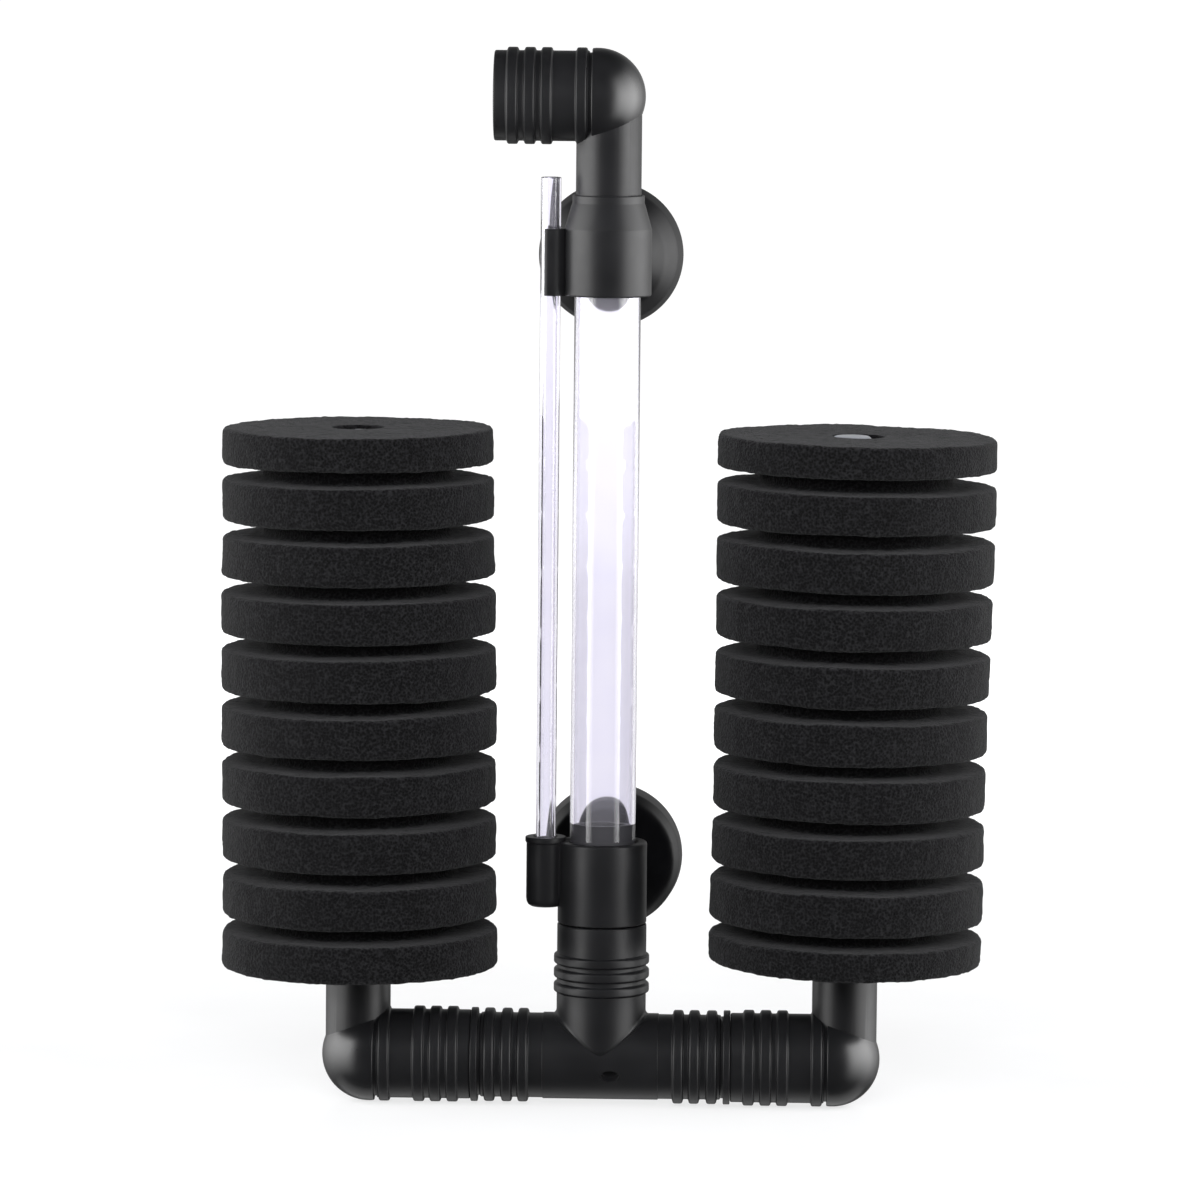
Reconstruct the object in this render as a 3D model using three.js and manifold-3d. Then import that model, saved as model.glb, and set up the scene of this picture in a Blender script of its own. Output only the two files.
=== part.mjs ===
// Double sponge filter for an aquarium, driven by air.
//
// Millimetres. +X is to the right, +Y is towards the glass that the filter hangs on, +Z is up.
// The origin is on the axis of the uplift tube, level with the lowest ribs.
// Air goes down the thin tube into the lower collar and rises through the uplift tube. That draws
// water through the two sponges, their strainers, the arms and the tee, and out of the top elbow.

import * as THREE from 'three';
import { mergeVertices } from 'three/addons/utils/BufferGeometryUtils.js';
import Module from 'manifold-3d';

const wasm = await Module();
wasm.setup();

// ---------------------------------------------------------------- driving dimensions

const roundSides = 20;
const fitGap = 0.3;               // between pieces that touch, slide or turn

// Push-fit system: every spigot and nipple is the same pipe, every socket takes it.
const pipeRadius = 8;
const pipeBore = 6.1;
const socketBore = pipeRadius + fitGap;
const socketDepth = 12.5;
const nippleReach = 12;           // how far a nipple goes into each socket

// Elbows. "Along" is measured from the axis of the pipe to the open end of the barrel.
const barrelRadius = 11;
const barrelEnd = 28;
const ballRadius = 11.75;
const ballAlong = 2.4;
const ballGroove = { from: 4.2, to: 4.9, radius: 10.4 };
const elbowRibs = [6.7, 15.2, 19.3, 23.5];
const rib = { width: 2.8, height: 0.8, taper: 0.4 };
const outletPipeLength = 36.2;
const armPipeLength = 21.2;

// Tee
const teeArmRadius = 10.45;
const teeArmEnd = 29.6;
const teeArmRibs = [19.1, 23.1, 27.4];
const teeArmRib = { width: 2.8, height: 1.15, taper: 0.4 };
const teeStemRadius = 11;
const teeTop = 45;
const teeStemRibs = [29.2, 32.8, 36.3];
const teeStemRib = { width: 2.5, height: 0.75, taper: 0.4 };
const teeStemSocket = 15.3;

// Heights of the uplift line
const armHeight = barrelRadius + rib.height;
const armSpan = 60;               // from the uplift axis to each strainer's axis
const outletHeight = 248.2;
const nippleFlange = { radius: 11.6, width: 1.8 };

// Uplift tube and the injector that its foot stands on
const tubeRadius = 8.1;
const tubeBore = 7.1;
const tubeTop = 210;
const tubeSocketBore = tubeRadius + fitGap;
const injector = { low: 46.3, top: 70, radius: 5.8, bore: 4.2, flangeTop: 56.2, grooveRadius: 4.9 };
const injectorNozzle = { low: 57.5, radius: 6.8, bore: 5.6 };
const airHole = { height: 53.3, radius: 1.2 };

// Lower collar
const lowerCollar = { radius: 10.95, top: 65.4, shoulder: 54.7 };

// Upper collar
const upperCollar = { low: 199.7, radius: 10.65, shoulder: 215.5, neckLow: 221.2, neckRadius: 8.8, top: 224.2 };
const innerRidge = { low: 210.3, top: 211.7, radius: 6.8 };

// Air line
const airLineX = -14;
const airTube = { radius: 2.5, bore: 1.5, low: 55.3, top: 228.5 };
const airSocket = { radius: 4.75, bore: 2.8, low: 49, top: 66.4, edge: 1.9 };
const airClip = { radius: 4.2, low: upperCollar.low, top: 216, slotWidth: 3 };
const airClipTurn = THREE.MathUtils.degToRad(47);

// Sponges, and the strainers inside them
const spongeRadius = 33.4;
const spongeCore = 23.5;
const spongeBore = 6.1;
const endDisc = 8.5;
const middleDisc = 10.3;
const groove = 3.6;
const middleDiscs = 8;
const strainer = { radius: 5.8, bore: 4.6, low: 24.3, top: 160, flangeRadius: 8, flangeHeight: 1.3 };
const strainerWindow = { width: 3, height: 18, pitch: 22, low: 41, rows: 5 };
const strainerCap = { plugRadius: 4.3, plugDepth: 8, top: 166.1, edge: 1.2 };

// Suction cups. The rim is as far back as the sponges reach, so both touch the glass.
const cup = { radius: 18, rim: 1.4, knobRadius: 4.7, knobFrom: 12, knobTo: 15, neckRadius: 3, bodyFrom: 17.7 };
const cupFace = spongeRadius;
const lowerCupHeight = 57.9;
const upperCupHeight = 207.9;
const bracket = { halfWidth: 7, from: 8.7, to: 17.4, below: 7.2, above: 6.5 };

// ---------------------------------------------------------------- solids

// A closed geometry as a solid that can be joined to others and cut by them.
function solid(geometry) {
    geometry.deleteAttribute('normal');
    geometry.deleteAttribute('uv');
    const merged = mergeVertices(geometry, 1e-4);
    const corners = Array.from(merged.index.array);
    const triangles = [];
    for (let i = 0; i < corners.length; i += 3) {
        const triangle = corners.slice(i, i + 3);
        if (new Set(triangle).size === 3) {
            triangles.push(...triangle);
        }
    }
    return new wasm.Manifold(new wasm.Mesh({
        numProp: 3,
        vertProperties: Float32Array.from(merged.attributes.position.array),
        triVerts: Uint32Array.from(triangles),
    }));
}

// An outline of [radius, height] points, turned about the Z axis.
// It starts and ends on the axis, or on the same point.
function latheGeometry(outline) {
    const points = outline.map(([radius, height]) => new THREE.Vector2(radius, height));
    return new THREE.LatheGeometry(points, roundSides).rotateX(Math.PI / 2);
}

function turned(outline) {
    return solid(latheGeometry(outline));
}

// The same outline turned about the X axis, with its heights running towards -X.
function turnedAboutX(outline) {
    return solid(latheGeometry(outline).rotateY(-Math.PI / 2));
}

function rod(radius, low, high) {
    return [[0, low], [radius, low], [radius, high], [0, high]];
}

function ring(radius, bore, low, high) {
    return [[radius, low], [radius, high], [bore, high], [bore, low], [radius, low]];
}

function block(low, high) {
    const [width, depth, height] = high.map((value, i) => value - low[i]);
    const [x, y, z] = high.map((value, i) => (value + low[i]) / 2);
    return solid(new THREE.BoxGeometry(width, depth, height).translate(x, y, z));
}

// The points of ribs that stand on a barrel of this radius, from low to high.
function ribPoints(radius, places, shape) {
    return places.flatMap((place) => [
        [radius, place - shape.width / 2],
        [radius + shape.height, place - shape.width / 2 + shape.taper],
        [radius + shape.height, place + shape.width / 2 - shape.taper],
        [radius, place + shape.width / 2],
    ]);
}

// ---------------------------------------------------------------- sub-parts

// An elbow: a ball that runs into a ribbed barrel towards -X, and a pipe that goes up.
function elbow(pipeLength) {
    const grooveAngle = Math.asin((ballGroove.from - ballAlong) / ballRadius);
    const steps = 6;
    const ball = [];
    for (let i = 0; i <= steps; i += 1) {
        const angle = THREE.MathUtils.lerp(-Math.PI / 2, grooveAngle, i / steps);
        ball.push([ballRadius * Math.cos(angle), ballAlong + ballRadius * Math.sin(angle)]);
    }
    ball[0][0] = 0;
    const outside = turnedAboutX([
        ...ball,
        [ballGroove.radius, ballGroove.from],
        [ballGroove.radius, ballGroove.to],
        [barrelRadius, ballGroove.to],
        ...ribPoints(barrelRadius, elbowRibs, rib),
        [barrelRadius, barrelEnd],
        [0, barrelEnd],
    ]);
    const socketFloor = barrelEnd - socketDepth;
    const inside = turnedAboutX([
        [0, -pipeBore],
        [pipeBore * 0.6, -pipeBore * 0.9],
        [pipeBore, -pipeBore * 0.4],
        [pipeBore, socketFloor],
        [socketBore, socketFloor],
        [socketBore, barrelEnd + 1],
        [0, barrelEnd + 1],
    ]);
    const pipe = turned(rod(pipeRadius, 0, pipeLength));
    const pipeHole = turned(rod(pipeBore, 0, pipeLength + 1));
    return outside.add(pipe).subtract(inside).subtract(pipeHole);
}

// The tee, with its origin where its three axes meet.
function tee() {
    const leftRibs = teeArmRibs.map((place) => -place).reverse();
    const arms = turnedAboutX([
        [0, -teeArmEnd],
        [teeArmRadius, -teeArmEnd],
        ...ribPoints(teeArmRadius, [...leftRibs, ...teeArmRibs], teeArmRib),
        [teeArmRadius, teeArmEnd],
        [0, teeArmEnd],
    ]);
    const stemEnd = teeTop - armHeight;
    const stem = turned([
        [0, 0],
        [teeStemRadius, 0],
        ...ribPoints(teeStemRadius, teeStemRibs.map((height) => height - armHeight), teeStemRib),
        [teeStemRadius, stemEnd],
        [0, stemEnd],
    ]);
    const armFloor = teeArmEnd - socketDepth;
    const armHole = turnedAboutX([
        [0, -teeArmEnd - 1],
        [socketBore, -teeArmEnd - 1],
        [socketBore, -armFloor],
        [pipeBore, -armFloor],
        [pipeBore, armFloor],
        [socketBore, armFloor],
        [socketBore, teeArmEnd + 1],
        [0, teeArmEnd + 1],
    ]);
    const stemFloor = stemEnd - teeStemSocket;
    const stemHole = turned([
        [0, 0],
        [pipeBore, 0],
        [pipeBore, stemFloor],
        [socketBore, stemFloor],
        [socketBore, stemEnd + 1],
        [0, stemEnd + 1],
    ]);
    return arms.add(stem).subtract(armHole).subtract(stemHole);
}

// A nipple that joins two sockets, with the flange that shows between them, centred on its origin.
function nipple() {
    const flangeHalf = nippleFlange.width / 2;
    const end = flangeHalf + nippleReach;
    return turnedAboutX([
        [pipeRadius, -end],
        [pipeRadius, -flangeHalf],
        [nippleFlange.radius, -flangeHalf],
        [nippleFlange.radius, flangeHalf],
        [pipeRadius, flangeHalf],
        [pipeRadius, end],
        [pipeBore, end],
        [pipeBore, -end],
        [pipeRadius, -end],
    ]);
}

// The bracket on the back of a collar: a pocket for the knob of a suction cup, open at the top.
function cupBracket(height) {
    const top = height + bracket.above;
    const knobRoom = cup.knobRadius + fitGap;
    const neckRoom = cup.neckRadius + fitGap;
    const body = block(
        [-bracket.halfWidth, bracket.from, height - bracket.below],
        [bracket.halfWidth, bracket.to, top],
    );
    const pocket = block(
        [-knobRoom, cup.knobFrom - fitGap, height - knobRoom],
        [knobRoom, cup.knobTo + fitGap, top + 1],
    );
    const slot = block(
        [-neckRoom, cup.knobTo, height - neckRoom],
        [neckRoom, bracket.to + 1, top + 1],
    );
    return body.subtract(pocket).subtract(slot);
}

function lowerCollarBody() {
    const spigotEnd = teeTop - teeStemSocket + fitGap;
    const body = turned([
        [0, spigotEnd],
        [pipeRadius, spigotEnd],
        [pipeRadius, teeTop + fitGap],
        [lowerCollar.radius, teeTop + fitGap],
        [lowerCollar.radius, lowerCollar.top],
        [0, lowerCollar.top],
    ]);
    const hole = turned([
        [0, spigotEnd - 1],
        [pipeBore, spigotEnd - 1],
        [pipeBore, lowerCollar.shoulder],
        [tubeSocketBore, lowerCollar.shoulder],
        [tubeSocketBore, lowerCollar.top + 1],
        [0, lowerCollar.top + 1],
    ]);
    return body.add(cupBracket(lowerCupHeight)).add(airInlet()).subtract(hole).subtract(airway());
}

// The boss on the side of the lower collar that the air tube plugs into.
function airInlet() {
    const { radius, low, top, edge } = airSocket;
    const boss = turned([
        [0, low],
        [radius - edge, low],
        [radius - edge * 0.3, low + edge * 0.3],
        [radius, low + edge],
        [radius, top],
        [0, top],
    ]).translate([airLineX, 0, 0]);
    const web = block([airLineX, -radius * 0.7, low + edge], [airLineX + radius * 1.5, radius * 0.7, top - 1]);
    return boss.add(web);
}

// The hole down the boss, and the way from there into the collar.
function airway() {
    const { bore, top } = airSocket;
    const down = turned([
        [0, airHole.height - airHole.radius],
        [airHole.radius, airHole.height - airHole.radius],
        [airHole.radius, airTube.low - fitGap],
        [bore, airTube.low - fitGap],
        [bore, top + 1],
        [0, top + 1],
    ]).translate([airLineX, 0, 0]);
    const across = turnedAboutX(rod(airHole.radius * 0.8, 5, -airLineX)).translate([0, 0, airHole.height]);
    return down.add(across);
}

// The insert that the uplift tube stands on. Air enters its groove and goes through six small holes.
function airInjector() {
    const { low, top, radius, bore, flangeTop, grooveRadius } = injector;
    const flangeLow = lowerCollar.shoulder + fitGap;
    const grooveLow = airHole.height - airHole.radius;
    const body = turned([
        [radius, low],
        [radius, grooveLow],
        [grooveRadius, grooveLow],
        [grooveRadius, flangeLow],
        [tubeRadius, flangeLow],
        [tubeRadius, flangeTop],
        [injectorNozzle.radius, flangeTop],
        [injectorNozzle.radius, top],
        [injectorNozzle.bore, top],
        [injectorNozzle.bore, injectorNozzle.low],
        [bore, injectorNozzle.low],
        [bore, low],
        [radius, low],
    ]);
    const holes = 3;
    let drilled = body;
    for (let i = 0; i < holes; i += 1) {
        const drill = new THREE.CylinderGeometry(0.6, 0.6, 2 * radius, 8);
        drill.rotateZ(Math.PI / 2);
        drill.rotateZ(i * Math.PI / holes);
        drilled = drilled.subtract(solid(drill.translate(0, 0, airHole.height + 0.1)));
    }
    return drilled;
}

// The C-shaped clip on the side of the upper collar, open to the front left.
function airTubeClip() {
    const { radius, low, top, slotWidth } = airClip;
    const clip = turned(ring(radius, airSocket.bore, low, top));
    const slot = new THREE.BoxGeometry(slotWidth, radius + 1, top - low + 2);
    slot.translate(0, -(radius + 1) / 2, (low + top) / 2);
    slot.rotateZ(-airClipTurn);
    return clip.subtract(solid(slot)).translate([airLineX, 0, 0]);
}

function upperCollarBody() {
    const { low, radius, shoulder, neckLow, neckRadius, top } = upperCollar;
    const outside = turned([
        [0, low],
        [radius, low],
        [radius, shoulder],
        [neckRadius, neckLow],
        [neckRadius, top],
        [0, top],
    ]);
    const hole = turned([
        [0, low - 1],
        [tubeSocketBore, low - 1],
        [tubeSocketBore, innerRidge.low],
        [innerRidge.radius, innerRidge.low],
        [innerRidge.radius, innerRidge.top],
        [socketBore, innerRidge.top],
        [socketBore, top + 1],
        [0, top + 1],
    ]);
    const web = block([airLineX + 3.3, -1.6, low], [-radius + 1, 1.6, airClip.top]);
    return outside.add(cupBracket(upperCupHeight)).add(airTubeClip()).add(web).subtract(hole);
}

// A suction cup, pointing to +Y, with its origin on its axis level with the uplift tube's.
function suctionCup() {
    const { radius, rim, knobRadius, knobFrom, knobTo, neckRadius, bodyFrom } = cup;
    const outline = [
        [0, knobFrom],
        [knobRadius, knobFrom],
        [knobRadius, knobTo],
        [neckRadius, knobTo],
        [neckRadius, bodyFrom],
        [radius * 0.33, bodyFrom],
        [radius * 0.45, bodyFrom + 3],
        [radius * 0.68, bodyFrom + 6.5],
        [radius * 0.88, bodyFrom + 10.5],
        [radius, cupFace - 0.8],
        [radius, cupFace],
        [radius - rim, cupFace],
        [radius * 0.78, cupFace - 3.4],
        [radius * 0.5, cupFace - 7],
        [0, cupFace - 9],
    ];
    return solid(latheGeometry(outline).rotateX(-Math.PI / 2));
}

// A foam cylinder cut into ten discs by nine grooves, with a hole down the middle.
function sponge() {
    const outline = [[spongeBore, 0], [spongeRadius, 0]];
    let height = endDisc;
    for (let i = 0; i <= middleDiscs; i += 1) {
        outline.push([spongeRadius, height], [spongeCore, height]);
        height += groove;
        outline.push([spongeCore, height], [spongeRadius, height]);
        height += i < middleDiscs ? middleDisc : endDisc;
    }
    outline.push([spongeRadius, height], [spongeBore, height], [spongeBore, 0]);
    return turned(outline);
}

// The tube inside a sponge: it plugs into the elbow's pipe and has rows of windows all round.
function strainerTube() {
    const { radius, bore, low, top, flangeRadius, flangeHeight } = strainer;
    const { width, height, pitch, low: firstWindow, rows } = strainerWindow;
    const flangeLow = armHeight + armPipeLength + fitGap;
    let tube = turned([
        [radius, low],
        [radius, flangeLow],
        [flangeRadius, flangeLow],
        [flangeRadius, flangeLow + flangeHeight],
        [radius, flangeLow + flangeHeight],
        [radius, top],
        [bore, top],
        [bore, low],
        [radius, low],
    ]);
    for (let i = 0; i < rows; i += 1) {
        const bottom = firstWindow + i * pitch;
        const reach = radius + 1;
        const acrossX = block([-reach, -width / 2, bottom], [reach, width / 2, bottom + height]);
        const acrossY = block([-width / 2, -reach, bottom], [width / 2, reach, bottom + height]);
        tube = tube.subtract(acrossX).subtract(acrossY);
    }
    return tube;
}

// The cap that closes a strainer, with a plug that goes down into it.
function strainerEnd() {
    const { plugRadius, plugDepth, top, edge } = strainerCap;
    const seat = strainer.top + fitGap;
    return turned([
        [0, seat - plugDepth],
        [plugRadius, seat - plugDepth],
        [plugRadius, seat],
        [strainer.radius, seat],
        [strainer.radius, top - edge],
        [strainer.radius - edge * 0.3, top - edge * 0.3],
        [strainer.radius - edge, top],
        [0, top],
    ]);
}

// ---------------------------------------------------------------- materials

function blackPlastic() {
    return new THREE.MeshStandardMaterial({ color: 0x1b1c1e, roughness: 0.42, metalness: 0 });
}

function greyPlastic() {
    return new THREE.MeshStandardMaterial({ color: 0x8d9094, roughness: 0.5, metalness: 0 });
}

function clearPlastic() {
    return new THREE.MeshStandardMaterial({
        color: 0xe6e4f2,
        roughness: 0.08,
        metalness: 0,
        transparent: true,
        opacity: 0.35,
    });
}

function blackRubber() {
    return new THREE.MeshStandardMaterial({ color: 0x161719, roughness: 0.5, metalness: 0 });
}

function blackFoam() {
    return new THREE.MeshStandardMaterial({ color: 0x2a2a2b, roughness: 1, metalness: 0 });
}

// ---------------------------------------------------------------- assembly

// A named mesh of one sub-part, with flat-shaded faces.
function mesh(name, shape, material, position = [0, 0, 0]) {
    const { vertProperties, triVerts } = shape.getMesh();
    const geometry = new THREE.BufferGeometry();
    geometry.setAttribute('position', new THREE.BufferAttribute(Float32Array.from(vertProperties), 3));
    geometry.setIndex(Array.from(triVerts));
    geometry.computeVertexNormals();
    material.flatShading = true;
    const part = new THREE.Mesh(geometry, material);
    part.name = name;
    part.position.set(...position);
    return part;
}

function upliftLine() {
    const outlet = mesh('outlet_elbow', elbow(outletPipeLength), blackPlastic(), [0, 0, outletHeight]);
    outlet.rotation.x = Math.PI;
    const tube = turned(ring(tubeRadius, tubeBore, injector.flangeTop + fitGap, tubeTop));
    const airLine = turned(ring(airTube.radius, airTube.bore, airTube.low, airTube.top));
    return [
        outlet,
        mesh('upper_collar', upperCollarBody(), blackPlastic()),
        mesh('uplift_tube', tube, clearPlastic()),
        mesh('lower_collar', lowerCollarBody(), blackPlastic()),
        mesh('air_injector', airInjector(), blackPlastic()),
        mesh('air_tube', airLine, clearPlastic(), [airLineX, 0, 0]),
        mesh('upper_suction_cup', suctionCup(), blackRubber(), [0, 0, upperCupHeight]),
        mesh('lower_suction_cup', suctionCup(), blackRubber(), [0, 0, lowerCupHeight]),
        mesh('tee', tee(), blackPlastic(), [0, 0, armHeight]),
    ];
}

// One arm with its nipple, elbow, strainer and sponge. The left arm is the right one turned half round.
function arm(side, turn) {
    const line = new THREE.Group();
    line.rotation.z = turn;
    const nippleX = teeArmEnd + fitGap + nippleFlange.width / 2;
    const spongeLow = armHeight + armPipeLength + strainer.flangeHeight + 2 * fitGap;
    line.add(
        mesh(`${side}_nipple`, nipple(), blackPlastic(), [nippleX, 0, armHeight]),
        mesh(`${side}_elbow`, elbow(armPipeLength), blackPlastic(), [armSpan, 0, armHeight]),
        mesh(`${side}_strainer`, strainerTube(), greyPlastic(), [armSpan, 0, 0]),
        mesh(`${side}_strainer_cap`, strainerEnd(), greyPlastic(), [armSpan, 0, 0]),
        mesh(`${side}_sponge`, sponge(), blackFoam(), [armSpan, 0, spongeLow]),
    );
    return line;
}

const filter = new THREE.Group();
filter.add(...upliftLine(), arm('right', 0), arm('left', Math.PI));

export default filter;
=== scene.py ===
"""Looks of an air-driven double sponge filter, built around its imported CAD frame.

Every piece of the CAD model is replaced by a finer mesh of about the same size in the same place.
Shapes are given in millimetres, in the frame of the CAD model: +X right, +Y to the glass, +Z up.
"""

import math

import bmesh
import bpy
import numpy as np
from mathutils import Matrix, Vector


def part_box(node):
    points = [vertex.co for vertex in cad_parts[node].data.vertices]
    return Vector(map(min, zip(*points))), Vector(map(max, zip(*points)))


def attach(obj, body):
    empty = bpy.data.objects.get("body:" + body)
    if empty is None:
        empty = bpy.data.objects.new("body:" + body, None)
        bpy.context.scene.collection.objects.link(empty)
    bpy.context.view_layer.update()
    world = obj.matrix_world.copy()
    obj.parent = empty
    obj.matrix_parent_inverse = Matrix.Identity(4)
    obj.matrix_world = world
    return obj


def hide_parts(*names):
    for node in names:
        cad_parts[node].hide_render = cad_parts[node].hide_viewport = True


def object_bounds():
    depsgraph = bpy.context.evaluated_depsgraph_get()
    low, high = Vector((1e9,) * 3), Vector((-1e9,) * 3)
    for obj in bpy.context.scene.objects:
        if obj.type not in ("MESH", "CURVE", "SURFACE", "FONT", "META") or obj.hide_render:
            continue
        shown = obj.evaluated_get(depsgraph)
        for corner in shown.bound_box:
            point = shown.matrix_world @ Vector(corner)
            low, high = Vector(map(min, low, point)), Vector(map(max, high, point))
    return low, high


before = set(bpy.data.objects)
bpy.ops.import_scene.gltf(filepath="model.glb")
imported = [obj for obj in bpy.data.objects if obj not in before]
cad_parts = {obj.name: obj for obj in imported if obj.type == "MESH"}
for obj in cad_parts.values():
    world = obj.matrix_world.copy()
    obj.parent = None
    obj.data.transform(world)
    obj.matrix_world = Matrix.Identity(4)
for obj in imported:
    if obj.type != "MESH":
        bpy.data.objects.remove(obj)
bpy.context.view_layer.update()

MM = 0.001
ROUND = 96                      # segments round a moulded piece
CORNER_STEPS = 4                # segments round a softened corner
X = Vector((1, 0, 0))
Y = Vector((0, 1, 0))
Z = Vector((0, 0, 1))


# ---------------------------------------------------------------- sizes, from the frame


def corners(node):
    """The lowest and highest corners of a CAD node, in millimetres."""
    low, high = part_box(node)
    return low / MM, high / MM


outlet_low, outlet_high = corners("outlet_elbow")
upper_low, upper_high = corners("upper_collar")
lower_low, lower_high = corners("lower_collar")
tube_low, tube_high = corners("uplift_tube")
injector_low, injector_high = corners("air_injector")
air_low, air_high = corners("air_tube")
tee_high = corners("tee")[1]
arm_high = corners("right_elbow")[1]
sponge_low, sponge_high = corners("right_sponge")
strainer_low, strainer_high = corners("right_strainer")
cap_low, cap_high = corners("right_strainer_cap")
upper_cup_low, upper_cup_high = corners("upper_suction_cup")
lower_cup_low, lower_cup_high = corners("lower_suction_cup")
nipple_low, nipple_high = corners("right_nipple")

FIT_GAP = 0.3
PIPE_RADIUS = 8.0
PIPE_BORE = 6.1
SOCKET_BORE = PIPE_RADIUS + FIT_GAP
SOCKET_DEPTH = 12.5

RIB_TOP = 11.8
BARREL_RADIUS = 11.0
BARREL_END = 28.0
BALL_RADIUS = 11.75
BALL_ALONG = 2.9

ARM_HEIGHT = RIB_TOP
ARM_SPAN = (sponge_low.x + sponge_high.x) / 2
OUTLET_HEIGHT = outlet_high.z - RIB_TOP
AIR_X = (air_low.x + air_high.x) / 2
UPPER_CUP_HEIGHT = (upper_cup_low.z + upper_cup_high.z) / 2
LOWER_CUP_HEIGHT = (lower_cup_low.z + lower_cup_high.z) / 2
SPONGE_RADIUS = (sponge_high.x - sponge_low.x) / 2
TUBE_RADIUS = (tube_high.x - tube_low.x) / 2


# ---------------------------------------------------------------- mesh tools


def bend(before, corner, after, radius):
    """The points of a rounded corner between two neighbours, as a short curve."""
    back = np.subtract(before, corner)
    on = np.subtract(after, corner)
    reach_back = np.linalg.norm(back)
    reach_on = np.linalg.norm(on)
    if radius <= 0 or reach_back < 1e-6 or reach_on < 1e-6:
        return [tuple(corner)]
    cosine = float(np.clip(back @ on / (reach_back * reach_on), -1, 1))
    half = math.acos(cosine) / 2
    if math.degrees(half) > 88:
        return [tuple(corner)]
    trim = min(radius / math.tan(half), 0.48 * reach_back, 0.48 * reach_on)
    start = np.add(corner, back / reach_back * trim)
    end = np.add(corner, on / reach_on * trim)
    points = []
    for i in range(CORNER_STEPS + 1):
        t = i / CORNER_STEPS
        points.append(tuple((1 - t) ** 2 * start + 2 * t * (1 - t) * np.array(corner) + t * t * end))
    return points


def soften(outline, closed=False):
    """Rounds an outline of (radius, height) points, at each that has a corner radius as its third."""
    plain = [point[:2] for point in outline]
    count = len(plain)
    soft = []
    for i, point in enumerate(outline):
        if not closed and i in (0, count - 1):
            soft.append(tuple(plain[i]))
            continue
        corner_radius = point[2] if len(point) > 2 else 0
        soft += bend(plain[i - 1], plain[i], plain[(i + 1) % count], corner_radius)
    return soft


def basis(axis):
    """Two directions square to an axis, so that the three are right-handed."""
    axis = axis.normalized()
    side = Z if abs(axis.z) < 0.9 else X
    first = side.cross(axis).normalized()
    return first, axis.cross(first).normalized(), axis


def ring_mesh(name, rings, closed):
    """A mesh of rings of points, joined one to the next. Rings of no width become one point."""
    points = []
    starts = []
    for ring in rings:
        starts.append(len(points))
        single = np.ptp(ring, axis=0).max() < 1e-7
        points += ring[:1].tolist() if single else ring.tolist()
    sizes = np.diff(starts + [len(points)])
    faces = []
    count = len(rings)
    for j in range(count if closed else count - 1):
        a, b = starts[j], starts[(j + 1) % count]
        wide_a, wide_b = sizes[j] > 1, sizes[(j + 1) % count] > 1
        width = max(sizes[j], sizes[(j + 1) % count])
        for i in range(width):
            k = (i + 1) % width
            if wide_a and wide_b:
                faces.append((a + i, a + k, b + k, b + i))
            elif wide_b:
                faces.append((a, b + k, b + i))
            elif wide_a:
                faces.append((a + i, a + k, b))
    mesh = bpy.data.meshes.new(name)
    mesh.from_pydata(points, [], faces)
    return new_object(name, mesh)


def new_object(name, mesh):
    piece = bpy.data.objects.new(name, mesh)
    bpy.context.scene.collection.objects.link(piece)
    return piece


def lathe(name, outline, axis=Z, at=(0, 0, 0), closed=False, segments=ROUND):
    """An outline of (radius, height) points in millimetres, turned about an axis through a point."""
    first, second, along = (np.array(v) for v in basis(axis))
    angles = np.arange(segments) * 2 * math.pi / segments
    round_trip = np.outer(np.cos(angles), first) + np.outer(np.sin(angles), second)
    rings = [(np.array(at) + radius * round_trip + height * along) * MM for radius, height in outline]
    return ring_mesh(name, rings, closed)


def block(name, low, high, edge=0.0):
    """A box between two corners in millimetres, with rounded edges."""
    mesh = bpy.data.meshes.new(name)
    shape = bmesh.new()
    bmesh.ops.create_cube(shape, size=1)
    low = Vector(low)
    high = Vector(high)
    for vertex in shape.verts:
        vertex.co = Vector(low[i] + (vertex.co[i] + 0.5) * (high[i] - low[i]) for i in range(3)) * MM
    if edge:
        bmesh.ops.bevel(shape, geom=shape.edges[:], offset=edge * MM, segments=3, affect="EDGES")
    shape.to_mesh(mesh)
    shape.free()
    return new_object(name, mesh)


def combine(piece, tool, operation):
    """Joins the tool to the piece or cuts it out, and removes the tool."""
    boolean = piece.modifiers.new(operation, "BOOLEAN")
    boolean.operation = operation
    boolean.solver = "EXACT"
    boolean.object = tool
    bpy.context.view_layer.update()
    result = bpy.data.meshes.new_from_object(piece.evaluated_get(bpy.context.evaluated_depsgraph_get()))
    old = piece.data
    piece.modifiers.clear()
    piece.data = result
    result.name = piece.name
    bpy.data.meshes.remove(old)
    used = tool.data
    bpy.data.objects.remove(tool)
    bpy.data.meshes.remove(used)
    return piece


def join(piece, *tools):
    for tool in tools:
        combine(piece, tool, "UNION")
    return piece


def cut(piece, *tools):
    for tool in tools:
        combine(piece, tool, "DIFFERENCE")
    return piece


def smooth(piece, angle=32):
    """Smooth faces, with creases where they meet at more than this angle."""
    mesh = piece.data
    mesh.polygons.foreach_set("use_smooth", [True] * len(mesh.polygons))
    mesh.set_sharp_from_angle(angle=math.radians(angle))
    return piece


def transform(piece, matrix):
    """Moves the mesh itself, so that the object stays at the origin."""
    piece.data.transform(matrix)
    return piece


def ribs(radius, places, width, height):
    """The points of rounded ribs on a barrel, from low to high."""
    points = []
    for place in places:
        points += [
            (radius, place - width / 2, 0.3),
            (radius + height, place - width / 2 + 0.25, height * 0.9),
            (radius + height, place + width / 2 - 0.25, height * 0.9),
            (radius, place + width / 2, 0.3),
        ]
    return points


# ---------------------------------------------------------------- materials


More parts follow.
